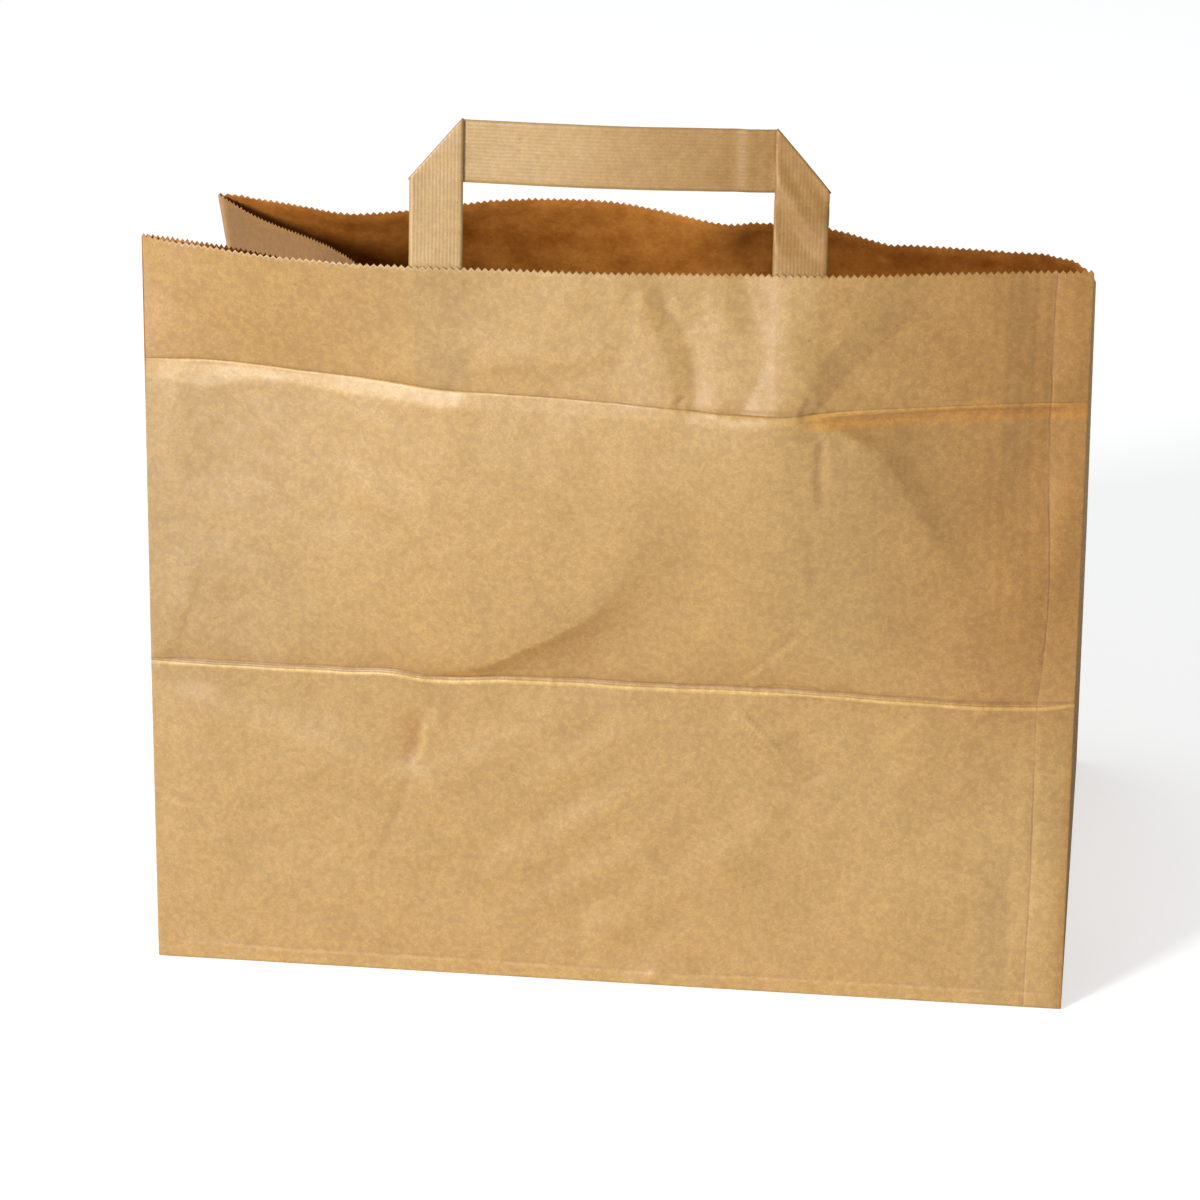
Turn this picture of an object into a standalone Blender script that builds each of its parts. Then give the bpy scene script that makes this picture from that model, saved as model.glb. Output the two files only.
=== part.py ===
# Kraft paper carrier bag: one folded sheet with a block bottom and one flat strap handle.
# Metres, Z up, origin on the ground under the middle of the base, front towards -Y.
import math

import bpy
from mathutils import Vector

# Driving dimensions of the bag
BAG_WIDTH = 0.320
BAG_DEPTH = 0.220
PANEL_HEIGHT = 0.262
CREASE_HEIGHT = BAG_DEPTH / 2
PAPER = 0.0002
GAP = 0.0003

# How the filled-out bag leans, in degrees towards the inside: left edge, then right edge
FRONT_LEAN_LOW = (3.6, 4.8)
FRONT_LEAN_HIGH = (4.4, 2.7)
BACK_LEAN_LOW = (10.0, 14.0)
BACK_LEAN_HIGH = (26.6, 35.0)

# How far the panels swell away from straight
FRONT_SWELL_TOP = 0.0255
FRONT_SWELL_COLLAR = 0.0265
FRONT_SWELL_CREASE = 0.006
SWELL_SKEW_TOP = 0.65
SWELL_SKEW_COLLAR = 1.25
COLLAR_DEPTH = 0.049
BACK_SWELL = 0.0140
BACK_WAVE = (0.0, -0.38, 0.24, 1.02, 1.0, 0.52, 0.50, 0.72, 0.0)

# Gusset folds: inward fold point at the top and where the three folds meet, left side then right
GUSSET_TOP = (Vector((-0.090, -0.050, 0.236)), Vector((0.084, -0.062, 0.228)))
GUSSET_APEX = (Vector((-0.110, -0.005, 0.098)), Vector((0.105, -0.006, 0.094)))
GUSSET_FRONT_SWELL = (Vector((0.005, -0.021, 0.0095)), Vector((-0.001, 0.004, 0.001)))
GUSSET_BACK_SWELL = (Vector((0.002, 0.003, 0.001)), Vector((-0.003, 0.003, 0.001)))

# Glue seam on the front, near the right fold
SEAM_INSET = 0.0115
SEAM_STEP = 0.00015
SEAM_RAMP = 0.0004

# Pinked top edge
TOOTH_PITCH = 0.00231
TOOTH_DEPTH = 0.0012
EDGE_STRIP = 0.004

# Strap handle
LEG_WIDTH = 0.0175
GRIP_WIDTH = 0.0195
STRAP_THICK = 0.0006
FOLD_GAP = 0.0003
LEFT_LEG_X = -0.054
RIGHT_LEG_X = 0.0645
LEG_BELOW_TOP = 0.045
HANDLE_RISE = 0.0464
HANDLE_DROP = 0.0017
HANDLE_LEAN = 8.0
HANDLE_FLAT_FROM = 0.010

# Mesh fineness
FRONT_CELLS = 32
BACK_CELLS = 16
FOLD_CELLS = 5
UPPER_CELLS = 5
COLLAR_CELLS = 4
LEG_CELLS = 4

LEFT = 0
RIGHT = 1
SIDES = (-1.0, 1.0)


def clear_scene():
    for old in list(bpy.data.objects):
        bpy.data.objects.remove(old, do_unlink=True)


def collection(name):
    group = bpy.data.collections.new(name)
    bpy.context.scene.collection.children.link(group)
    return group


def paper(name, colour, roughness):
    material = bpy.data.materials.new(name)
    material.use_nodes = True
    shader = material.node_tree.nodes["Principled BSDF"]
    shader.inputs["Base Color"].default_value = (*colour, 1.0)
    shader.inputs["Roughness"].default_value = roughness
    shader.inputs["Metallic"].default_value = 0.0
    return material


def along(start, length, lean):
    """Point reached from start after a length that leans inward (+Y) by so many degrees."""
    angle = math.radians(lean)
    return start + Vector((0.0, math.sin(angle), math.cos(angle))) * length


# Corners of the folded sheet
UPPER_HEIGHT = PANEL_HEIGHT - CREASE_HEIGHT
FRONT_BASE = [Vector((s * BAG_WIDTH / 2, -BAG_DEPTH / 2, 0.0)) for s in SIDES]
BACK_BASE = [Vector((s * BAG_WIDTH / 2, BAG_DEPTH / 2, 0.0)) for s in SIDES]
FRONT_CREASE = [along(FRONT_BASE[k], CREASE_HEIGHT, FRONT_LEAN_LOW[k]) for k in (LEFT, RIGHT)]
BACK_CREASE = [along(BACK_BASE[k], CREASE_HEIGHT, -BACK_LEAN_LOW[k]) for k in (LEFT, RIGHT)]
FRONT_TOP = [along(FRONT_CREASE[k], UPPER_HEIGHT, FRONT_LEAN_HIGH[k]) for k in (LEFT, RIGHT)]
BACK_TOP = [along(BACK_CREASE[k], UPPER_HEIGHT, -BACK_LEAN_HIGH[k]) for k in (LEFT, RIGHT)]


def fold_line(base, crease, top, height):
    """Point of an upright fold at a height measured along the paper."""
    if height <= CREASE_HEIGHT:
        return base.lerp(crease, height / CREASE_HEIGHT)
    return crease.lerp(top, (height - CREASE_HEIGHT) / UPPER_HEIGHT)


def smooth(values, place):
    """Smooth curve through equally spaced values, read at a place from 0 to 1."""
    last = len(values) - 1
    spot = min(max(place, 0.0), 1.0) * last
    k = min(int(spot), last - 1)
    t = spot - k
    before, a, b, after = values[max(k - 1, 0)], values[k], values[k + 1], values[min(k + 2, last)]
    slope_a = (b - before) / 2
    slope_b = (after - a) / 2
    cubic = 2 * a - 2 * b + slope_a + slope_b
    square = 3 * b - 3 * a - 2 * slope_a - slope_b
    return ((cubic * t + square) * t + slope_a) * t + a


def front_swell(across, height):
    """Outward swell of the front panel."""
    place = across / BAG_WIDTH
    crease = FRONT_SWELL_CREASE * math.sin(math.pi * place)
    collar = FRONT_SWELL_COLLAR * math.sin(math.pi * place ** SWELL_SKEW_COLLAR)
    top = FRONT_SWELL_TOP * math.sin(math.pi * place ** SWELL_SKEW_TOP)
    collar_height = PANEL_HEIGHT - COLLAR_DEPTH
    if height <= CREASE_HEIGHT:
        return crease * (height / CREASE_HEIGHT) ** 2
    if height <= collar_height:
        part = (height - CREASE_HEIGHT) / (collar_height - CREASE_HEIGHT)
        return crease + (collar - crease) * math.sin(part * math.pi / 2)
    return collar + (top - collar) * (height - collar_height) / COLLAR_DEPTH


def front_point(across, height):
    left = fold_line(FRONT_BASE[LEFT], FRONT_CREASE[LEFT], FRONT_TOP[LEFT], height)
    right = fold_line(FRONT_BASE[RIGHT], FRONT_CREASE[RIGHT], FRONT_TOP[RIGHT], height)
    point = left.lerp(right, across / BAG_WIDTH)
    seam = (across - (BAG_WIDTH - SEAM_INSET)) / SEAM_RAMP
    step = SEAM_STEP * min(max(seam, 0.0), 1.0) * min(height / EDGE_STRIP, 1.0)
    return point - Vector((0.0, front_swell(across, height) + step, 0.0))


def back_point(across, height):
    """Across runs from the right fold to the left fold, as the sheet goes round."""
    left = fold_line(BACK_BASE[LEFT], BACK_CREASE[LEFT], BACK_TOP[LEFT], height)
    right = fold_line(BACK_BASE[RIGHT], BACK_CREASE[RIGHT], BACK_TOP[RIGHT], height)
    place = 1.0 - across / BAG_WIDTH
    lean = math.radians(BACK_LEAN_HIGH[LEFT] * (1.0 - place) + BACK_LEAN_HIGH[RIGHT] * place)
    swell = BACK_SWELL * smooth(BACK_WAVE, place) * (height / PANEL_HEIGHT) ** 2
    return left.lerp(right, place) + Vector((0.0, math.cos(lean), math.sin(lean))) * swell


def gusset_point(side, across, height):
    """Across runs from the front fold to the back fold of one side."""
    front, back = FRONT_CREASE[side], BACK_CREASE[side]
    apex = GUSSET_APEX[side]
    if height <= CREASE_HEIGHT:
        up = height / CREASE_HEIGHT
        if across <= height:
            foot = FRONT_BASE[side]
            return foot + (front - foot) * up + (apex - front) * (across / CREASE_HEIGHT)
        if across >= BAG_DEPTH - height:
            foot = BACK_BASE[side]
            return foot + (back - foot) * up + (apex - back) * ((BAG_DEPTH - across) / CREASE_HEIGHT)
        foot = FRONT_BASE[side]
        middle = foot.lerp(BACK_BASE[side], 0.5)
        return foot.lerp(BACK_BASE[side], across / BAG_DEPTH) + (apex - middle) * up
    up = (height - CREASE_HEIGHT) / UPPER_HEIGHT
    centre = apex.lerp(GUSSET_TOP[side], up)
    if across <= BAG_DEPTH / 2:
        edge = front.lerp(FRONT_TOP[side], up)
        place = across / (BAG_DEPTH / 2)
        swell = GUSSET_FRONT_SWELL[side]
    else:
        edge = back.lerp(BACK_TOP[side], up)
        place = (BAG_DEPTH - across) / (BAG_DEPTH / 2)
        swell = GUSSET_BACK_SWELL[side]
    return edge.lerp(centre, place) + swell * (math.sin(math.pi * place) * up ** 1.5)


def right_gusset_point(across, height):
    return gusset_point(RIGHT, across, height)


def left_gusset_point(across, height):
    return gusset_point(LEFT, BAG_DEPTH - across, height)


def spread(start, end, cells):
    return [start + (end - start) * k / cells for k in range(cells + 1)]


def sheet_columns():
    """Columns round the sheet as (panel, across), each corner fold once."""
    seam = BAG_WIDTH - SEAM_INSET
    front = spread(0.0, seam, FRONT_CELLS) + [seam + SEAM_RAMP]
    side = spread(0.0, BAG_DEPTH, 2 * FOLD_CELLS)
    back = spread(0.0, BAG_WIDTH, BACK_CELLS)
    columns = [(front_point, across) for across in front]
    columns += [(right_gusset_point, across) for across in side[:-1]]
    columns += [(back_point, across) for across in back[:-1]]
    columns += [(left_gusset_point, across) for across in side[:-1]]
    return columns


def sheet_rows():
    rows = spread(0.0, CREASE_HEIGHT, FOLD_CELLS)
    rows += spread(CREASE_HEIGHT, PANEL_HEIGHT - COLLAR_DEPTH, UPPER_CELLS)[1:]
    rows += spread(PANEL_HEIGHT - COLLAR_DEPTH, PANEL_HEIGHT - EDGE_STRIP, COLLAR_CELLS)[1:]
    return rows


def diagonal_way(panel, across, next_across, low, high):
    """1 or -1 where a gusset diagonal crosses the cell, 0 where none does."""
    if panel not in (right_gusset_point, left_gusset_point) or high > CREASE_HEIGHT * 1.001:
        return 0
    slack = EDGE_STRIP
    if abs(across - low) < slack and abs(next_across - high) < slack:
        return 1
    if abs(BAG_DEPTH - across - high) < slack and abs(BAG_DEPTH - next_across - low) < slack:
        return -1
    return 0


def sheet_mesh():
    columns = sheet_columns()
    rows = sheet_rows()
    count = len(columns)
    points = [panel(across, height) for height in rows for panel, across in columns]
    faces = []
    for j, (panel, across) in enumerate(columns):
        after = (j + 1) % count
        next_panel, next_across = columns[after]
        if next_panel is not panel:
            next_across = BAG_DEPTH
        for i in range(len(rows) - 1):
            a, b = i * count + j, i * count + after
            c, d = (i + 1) * count + after, (i + 1) * count + j
            way = diagonal_way(panel, across, next_across, rows[i], rows[i + 1])
            if way == 1:
                faces += [(a, b, c), (a, c, d)]
            elif way == -1:
                faces += [(a, b, d), (b, c, d)]
            else:
                faces.append((a, b, c, d))

    # Base: a fan round its middle
    middle = len(points)
    points.append(Vector((0.0, 0.0, 0.0)))
    faces += [(middle, (j + 1) % count, j) for j in range(count)]

    # Pinked edge: each column has its share of the teeth
    last_row = (len(rows) - 1) * count
    valleys = [panel(across, PANEL_HEIGHT - TOOTH_DEPTH) for panel, across in columns]
    tips = [panel(across, PANEL_HEIGHT) for panel, across in columns]
    first_valley = len(points)
    points += valleys
    for j in range(count):
        after = (j + 1) % count
        teeth = round((tips[after] - tips[j]).length / TOOTH_PITCH)
        if teeth == 0:
            faces.append((last_row + j, last_row + after, first_valley + after, first_valley + j))
            continue
        rim = [first_valley + j]
        for k in range(1, teeth):
            rim.append(len(points))
            points.append(valleys[j].lerp(valleys[after], k / teeth))
        rim.append(first_valley + after)
        low, next_low = last_row + j, last_row + after
        faces.append((low, next_low, rim[teeth // 2]))
        for k in range(teeth):
            foot = low if k < teeth // 2 else next_low
            faces.append((foot, rim[k + 1], rim[k]))
            faces.append((rim[k], rim[k + 1], len(points)))
            points.append(tips[j].lerp(tips[after], (k + 0.5) / teeth))
    return points, faces


def mesh_object(name, points, faces, origin, material, group):
    mesh = bpy.data.meshes.new(name)
    mesh.from_pydata([point - origin for point in points], [], faces)
    mesh.validate()
    thing = bpy.data.objects.new(name, mesh)
    thing.location = origin
    mesh.materials.append(material)
    group.objects.link(thing)
    return thing


def solidify(thing, thickness, offset, even):
    modifier = thing.modifiers.new("Paper", "SOLIDIFY")
    modifier.thickness = thickness
    modifier.offset = offset
    modifier.use_even_offset = even


def strap_point(x, rise, layer):
    """Middle of the strap at x, a rise above the front edge and a layer depth behind it."""
    across = x + BAG_WIDTH / 2
    inset = PAPER + GAP + STRAP_THICK / 2
    if rise <= 0.0:
        return front_point(across, PANEL_HEIGHT + rise) + Vector((0.0, inset + layer, 0.0))
    left = front_point(LEFT_LEG_X + BAG_WIDTH / 2, PANEL_HEIGHT)
    right = front_point(RIGHT_LEG_X + BAG_WIDTH / 2, PANEL_HEIGHT)
    place = (x - LEFT_LEG_X) / (RIGHT_LEG_X - LEFT_LEG_X)
    flat = left.lerp(right, place) - Vector((0.0, 0.0, HANDLE_DROP * place))
    edge = front_point(across, PANEL_HEIGHT).lerp(flat, min(rise / HANDLE_FLAT_FROM, 1.0))
    lean = math.radians(HANDLE_LEAN)
    return edge + Vector((0.0, inset + layer + math.sin(lean) * rise, math.cos(lean) * rise))


def leg_faces(points, faces, leg_x, side):
    """Front layer of the strap, from its foot up to the slanted fold; returns the fold's points."""
    outer = leg_x + SIDES[side] * LEG_WIDTH / 2
    inner = leg_x - SIDES[side] * LEG_WIDTH / 2
    grip_low = HANDLE_RISE - GRIP_WIDTH
    rises = spread(-LEG_BELOW_TOP, 0.0, LEG_CELLS) + [HANDLE_FLAT_FROM, grip_low]
    start = len(points)
    for rise in rises:
        for k in range(LEG_CELLS + 1):
            points.append(strap_point(outer + (inner - outer) * k / LEG_CELLS, rise, 0.0))
    row = LEG_CELLS + 1
    for i in range(len(rises) - 1):
        for k in range(LEG_CELLS):
            a = start + i * row + k
            faces.append(turned((a, a + 1, a + row + 1, a + row), side))
    last = start + (len(rises) - 1) * row
    fold = [last]
    for k in range(1, LEG_CELLS + 1):
        place = k / LEG_CELLS
        x = outer + (inner - outer) * place
        fold.append(len(points))
        points.append(strap_point(x, grip_low + GRIP_WIDTH * place, 0.0))
        if k == 1:
            faces.append(turned((last, last + 1, fold[1]), side))
        else:
            faces.append(turned((last + k - 1, last + k, fold[k], fold[k - 1]), side))
    return fold


def turned(face, side):
    return face if side == LEFT else tuple(reversed(face))


def fold_faces(points, faces, front_fold, side):
    """Round turn of the strap over its slanted fold, down to the layer behind."""
    depth = STRAP_THICK + FOLD_GAP
    outward = Vector((SIDES[side] * GRIP_WIDTH, 0.0, LEG_WIDTH)).normalized()
    previous = front_fold
    steps = 4
    for step in range(1, steps + 1):
        angle = math.pi * step / steps
        shift = Vector((0.0, depth / 2 * (1 - math.cos(angle)), 0.0)) + outward * (
            depth / 2 * math.sin(angle))
        current = []
        for index in front_fold:
            current.append(len(points))
            points.append(points[index] + shift)
        for k in range(len(previous) - 1):
            faces.append(turned((previous[k], previous[k + 1], current[k + 1], current[k]), side))
        previous = current
    return previous


def strap_mesh():
    points, faces = [], []
    ends = []
    for side, leg_x in ((LEFT, LEFT_LEG_X), (RIGHT, RIGHT_LEG_X)):
        front_fold = leg_faces(points, faces, leg_x, side)
        ends.append(fold_faces(points, faces, front_fold, side))
    for k in range(LEG_CELLS):
        left, right = ends[LEFT], ends[RIGHT]
        faces.append((left[k + 1], right[k + 1], right[k], left[k]))
    return points, faces


clear_scene()
bag = collection("paper_bag")

kraft = paper("kraft_paper", (0.58, 0.37, 0.17), 0.75)
strap_kraft = paper("strap_kraft_paper", (0.56, 0.38, 0.20), 0.65)

sheet = mesh_object("bag_body", *sheet_mesh(), Vector((0.0, 0.0, 0.0)), kraft, bag)
solidify(sheet, PAPER, -1.0, False)

strap_foot = strap_point((LEFT_LEG_X + RIGHT_LEG_X) / 2, 0.0, 0.0)
strap = mesh_object("handle_strap", *strap_mesh(), strap_foot, strap_kraft, bag)
solidify(strap, STRAP_THICK, 0.0, True)
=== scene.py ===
import math

import bpy
import numpy as np
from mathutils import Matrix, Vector


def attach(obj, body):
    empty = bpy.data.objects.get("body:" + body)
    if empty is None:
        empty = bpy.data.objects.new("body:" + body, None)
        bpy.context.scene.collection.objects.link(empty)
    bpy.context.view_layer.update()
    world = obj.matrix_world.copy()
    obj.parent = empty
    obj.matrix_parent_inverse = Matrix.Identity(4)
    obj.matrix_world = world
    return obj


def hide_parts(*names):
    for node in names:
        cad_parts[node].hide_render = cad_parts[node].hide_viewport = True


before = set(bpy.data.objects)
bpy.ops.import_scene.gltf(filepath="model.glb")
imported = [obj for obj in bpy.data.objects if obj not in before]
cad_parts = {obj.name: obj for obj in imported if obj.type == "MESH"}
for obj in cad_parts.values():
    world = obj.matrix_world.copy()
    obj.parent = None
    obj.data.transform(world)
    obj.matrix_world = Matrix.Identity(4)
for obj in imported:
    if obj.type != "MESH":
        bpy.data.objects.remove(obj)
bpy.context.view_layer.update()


MM = 0.001

# Sizes shared with the solids, metres: p runs round the bag from the front's left fold, v runs up the paper
WIDTH = 0.32
DEPTH = 0.22
HEIGHT = 0.262
CREASE = DEPTH / 2
COLLAR = 0.0437
PAPER = 0.0002
TOOTH = 0.0012
TEETH_WIDE = 138
TEETH_DEEP = 95
ROUND = 0.0006
ROUND_TRIP = 2 * WIDTH + 2 * DEPTH
BACK_MIDDLE = 1.5 * WIDTH + DEPTH

# Leans of the panels in degrees, at the left and the right fold, below and above the lower crease
FRONT_LEAN_LOW = (3.6, 4.8)
FRONT_LEAN_HIGH = (4.4, 2.7)
BACK_LEAN_LOW = (10.0, 14.0)
BACK_LEAN_HIGH = (26.6, 35.0)
BACK_SWELL = 0.014
# Left and right gusset: the middle fold's upper and lower end, and the swell of its two halves
GUSSET_TOP = np.array([[-0.09, -0.05, 0.236], [0.084, -0.062, 0.228]])
GUSSET_APEX = np.array([[-0.11, -0.005, 0.098], [0.105, -0.006, 0.094]])
GUSSET_FRONT_SWELL = np.array([[0.005, -0.0215, 0.008], [-0.001, 0.004, 0.001]])
GUSSET_BACK_SWELL = np.array([[0.002, 0.003, 0.001], [-0.003, 0.003, 0.001]])

# How the rim of the left gusset's back half rises and sinks, from its back fold (0) to its middle fold (1), mm
LEFT_RIM = ((0, 0), (0.06, -1.2), (0.22, -3.2), (0.37, -2.9), (0.5, -1.7), (0.63, -0.2), (0.78, 1.5),
            (0.9, 2.3), (1, 2.3))

# Swell of the panels, (place in mm from the middle, swell in mm)
SWELL_TOP = ((-160, 0), (-150, 6.0), (-136, 11.8), (-113, 19.4), (-90, 23.4), (-66, 25.2), (-44, 25.4),
             (0, 23.9), (26, 21.6), (56, 18.4), (81, 16.6), (113, 9.6), (136, 4.4), (160, 0))
SWELL_COLLAR = ((-160, 0), (-146, 0.3), (-133, 1.3), (-108, 6.6), (-93, 9.8), (-77, 13.6), (-54, 18.3),
                (-26, 21.8), (5, 24.4), (27, 26.6), (65, 26.6), (84, 21.4), (107, 14.2), (134, 6.6), (160, 0))
SWELL_CREASE = ((-160, 0), (-125, 1.2), (-91, 3.0), (-50, 5.4), (0, 6.3), (40, 5.8), (80, 4.0),
                (128, 3.4), (160, 0))
# Swell of the back as a share of BACK_SWELL
WAVE_BACK = ((-160, 0), (-148, -0.3), (-136, -0.44), (-118, -0.46), (-100, -0.1), (-80, 0.3), (-58, 0.78),
             (-40, 1.02), (-12, 1.12), (6, 0.92), (30, 0.56), (44, 0.6), (60, 0.6), (80, 0.5), (104, 0.52),
             (128, 0.64), (146, 0.8), (154, 0.62), (160, 0))


def curve(table, x):
    """Smooth curve through (place, value) pairs."""
    xs = np.array([a for a, b in table], float)
    ys = np.array([b for a, b in table], float)
    slope = np.gradient(ys, xs)
    x = np.clip(x, xs[0], xs[-1])
    k = np.clip(np.searchsorted(xs, x) - 1, 0, len(xs) - 2)
    w = xs[k + 1] - xs[k]
    t = (x - xs[k]) / w
    return ((2 * t ** 3 - 3 * t ** 2 + 1) * ys[k] + (t ** 3 - 2 * t ** 2 + t) * w * slope[k]
            + (3 * t ** 2 - 2 * t ** 3) * ys[k + 1] + (t ** 3 - t ** 2) * w * slope[k + 1])


def step(a, b, x):
    """0 at a, 1 at b, smooth between them."""
    t = np.clip((x - a) / (b - a), 0.0, 1.0)
    return t * t * (3 - 2 * t)


def bell(x, width):
    """1 at 0, falling away on both sides."""
    return np.exp(-0.5 * (x / width) ** 2)


def waves(u, v, size, seed, octaves=3):
    """Smooth seeded noise from -1 to 1, u and v in mm, size in mm."""
    rng = np.random.default_rng(seed)
    total = np.zeros(np.broadcast(u, v).shape)
    scale, weight, norm = 1.0 / size, 1.0, 0.0
    for _ in range(octaves):
        for _ in range(6):
            a = rng.uniform(0, 2 * math.pi)
            f = rng.uniform(0.6, 1.25) * scale * 2 * math.pi
            p = rng.uniform(0, 2 * math.pi)
            q = rng.uniform(0, 2 * math.pi)
            bend = 0.9 * np.sin(f * 0.53 * (-math.sin(a) * u + math.cos(a) * v) + q)
            total = total + weight * np.sin(f * (math.cos(a) * u + math.sin(a) * v) + p + bend)
        norm += weight * 2.6
        scale *= 2.1
        weight *= 0.5
    return total / norm


def lean_edge(start, length, lean):
    """The upper end of an edge that leans back by so many degrees."""
    angle = math.radians(lean)
    return start + np.array([0.0, math.sin(angle), math.cos(angle)]) * length


FRONT_BASE = [np.array([s * WIDTH / 2, -DEPTH / 2, 0.0]) for s in (-1, 1)]
BACK_BASE = [np.array([s * WIDTH / 2, DEPTH / 2, 0.0]) for s in (-1, 1)]
FRONT_CREASE = [lean_edge(FRONT_BASE[k], CREASE, FRONT_LEAN_LOW[k]) for k in (0, 1)]
BACK_CREASE = [lean_edge(BACK_BASE[k], CREASE, -BACK_LEAN_LOW[k]) for k in (0, 1)]
FRONT_TOP = [lean_edge(FRONT_CREASE[k], HEIGHT - CREASE, FRONT_LEAN_HIGH[k]) for k in (0, 1)]
BACK_TOP = [lean_edge(BACK_CREASE[k], HEIGHT - CREASE, -BACK_LEAN_HIGH[k]) for k in (0, 1)]


def lerp(a, b, t):
    return a + (b - a) * t[..., None]


def fold_line(base, crease, top, v):
    """Points of an upright fold, kinked at the lower crease."""
    low = lerp(base, crease, np.clip(v / CREASE, 0, 1))
    high = lerp(crease, top, (v - CREASE) / (HEIGHT - CREASE))
    return np.where((v <= CREASE)[..., None], low, high)


def front_swell(x, v):
    """Outward swell of the front, x in mm from the middle, v in metres up the paper."""
    crease = curve(SWELL_CREASE, x) * MM
    collar = curve(SWELL_COLLAR, x) * MM
    top = curve(SWELL_TOP, x) * MM
    foot = HEIGHT - COLLAR
    low = crease * np.clip(v / CREASE, 0, 1) ** 2
    part = np.clip((v - CREASE) / (foot - CREASE), 0, 1)
    middle = crease + (collar - crease) * np.sin(part * math.pi / 2)
    high = collar + (top - collar) * (v - foot) / COLLAR
    return np.where(v <= CREASE, low, np.where(v <= foot, middle, high))


def front_point(s, v):
    """s from the left fold to the right fold."""
    left = fold_line(FRONT_BASE[0], FRONT_CREASE[0], FRONT_TOP[0], v)
    right = fold_line(FRONT_BASE[1], FRONT_CREASE[1], FRONT_TOP[1], v)
    p = lerp(left, right, s / WIDTH)
    p[..., 1] -= front_swell((s - WIDTH / 2) / MM, v)
    return p


def back_point(s, v):
    """s from the right fold to the left fold."""
    left = fold_line(BACK_BASE[0], BACK_CREASE[0], BACK_TOP[0], v)
    right = fold_line(BACK_BASE[1], BACK_CREASE[1], BACK_TOP[1], v)
    t = 1.0 - s / WIDTH
    lean = np.radians(BACK_LEAN_HIGH[0] * (1 - t) + BACK_LEAN_HIGH[1] * t)
    x = (t - 0.5) * WIDTH / MM
    swell = BACK_SWELL * curve(WAVE_BACK, x) * np.clip(v / HEIGHT, 0, 1) ** 2
    p = lerp(left, right, t)
    p[..., 1] += np.cos(lean) * swell
    p[..., 2] += np.sin(lean) * swell
    return p


def gusset_point(side, s, v):
    """s from the front fold to the back fold."""
    apex, top = GUSSET_APEX[side], GUSSET_TOP[side]
    fb, bb, fc, bc = FRONT_BASE[side], BACK_BASE[side], FRONT_CREASE[side], BACK_CREASE[side]
    up = np.clip(v / CREASE, 0, 1)[..., None]
    near = (s / CREASE)[..., None]
    far = ((DEPTH - s) / CREASE)[..., None]
    low_front = fb + (fc - fb) * up + (apex - fc) * near
    low_back = bb + (bc - bb) * up + (apex - bc) * far
    low_mid = fb + (bb - fb) * (s / DEPTH)[..., None] + (apex - (fb + bb) / 2) * up
    low = np.where((s <= v)[..., None], low_front, np.where((s >= DEPTH - v)[..., None], low_back, low_mid))
    rise = np.clip((v - CREASE) / (HEIGHT - CREASE), 0, None)
    centre = apex + (top - apex) * rise[..., None]
    front = fc + (FRONT_TOP[side] - fc) * rise[..., None]
    back = bc + (BACK_TOP[side] - bc) * rise[..., None]
    first = s <= DEPTH / 2
    place = np.where(first, s, DEPTH - s) / (DEPTH / 2)
    edge = np.where(first[..., None], front, back)
    swell = np.where(first[..., None], GUSSET_FRONT_SWELL[side], GUSSET_BACK_SWELL[side])
    bulge = (np.sin(math.pi * np.clip(place, 0, 1)) * rise ** 1.5)[..., None] * swell
    high = edge + (centre - edge) * place[..., None] + bulge
    if side == 0:
        lift = np.where(first, LEFT_RIM[-1][1] * step(0.6, 1, place), curve(LEFT_RIM, place))
        high[..., 2] += lift * MM * np.clip(rise, 0, 1) ** 4
    return np.where((v <= CREASE)[..., None], low, high)


def sheet_point(p, v):
    """Point of the folded sheet, p metres round from the front left fold and v metres up."""
    p = np.mod(p, ROUND_TRIP)
    wall = np.maximum(v, 0.0)
    f = front_point(np.clip(p, 0, WIDTH), wall)
    r = gusset_point(1, np.clip(p - WIDTH, 0, DEPTH), wall)
    b = back_point(np.clip(p - WIDTH - DEPTH, 0, WIDTH), wall)
    left = gusset_point(0, DEPTH - np.clip(p - 2 * WIDTH - DEPTH, 0, DEPTH), wall)
    q = p[..., None]
    out = np.where(q <= WIDTH, f, np.where(q <= WIDTH + DEPTH, r, np.where(q <= 2 * WIDTH + DEPTH, b, left)))
    under = np.minimum(v, 0.0)
    out[..., 0] *= 1 + under / (WIDTH / 2)
    out[..., 1] *= 1 + under / (DEPTH / 2)
    return out


def rounded_point(p, v):
    """The sheet with its folds given a small radius."""
    total = 0.0
    offsets = np.linspace(-ROUND, ROUND, 7)
    low = np.abs(v) < ROUND * 1.01
    for d in offsets:
        total = total + sheet_point(p + d, v)
    total = total / len(offsets)
    if low.any():
        soft = 0.0
        for e in offsets:
            for d in offsets[::2]:
                soft = soft + sheet_point(p + d, v + e)
        total = np.where(low[..., None], soft / (len(offsets) * len(offsets[::2])), total)
    return total


# Folds, dents and wrinkles of the front panel, in mm: x from the middle, v up the paper
UPPER_CREASE = ((-160, 218.7), (-133, 219.8), (-108, 219.4), (-77, 218.7), (-54, 218.0), (-26, 218.3),
                (5, 217.9), (24, 217.2), (40, 216.3), (66, 216.4), (84, 217.4), (107, 217.3), (146, 217.3),
                (160, 217.2))
LOWER_CREASE = ((-160, 110.9), (-125, 111.2), (-91, 111.4), (-69, 111.8), (-64, 110.9), (-35, 111.5),
                (25, 111.3), (60, 111.6), (72, 111.9), (99, 111.4), (128, 110.5), (148, 110.3), (160, 111.2))
# The glue seam's edge: v, x
SEAM = ((0, 146.5), (25, 146.9), (43, 147.2), (91, 147.0), (110, 147.0), (127, 148.6), (154, 149.3),
        (179, 148.6), (208, 147.9), (221, 147.6), (240, 147.6), (262, 147.9))
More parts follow.
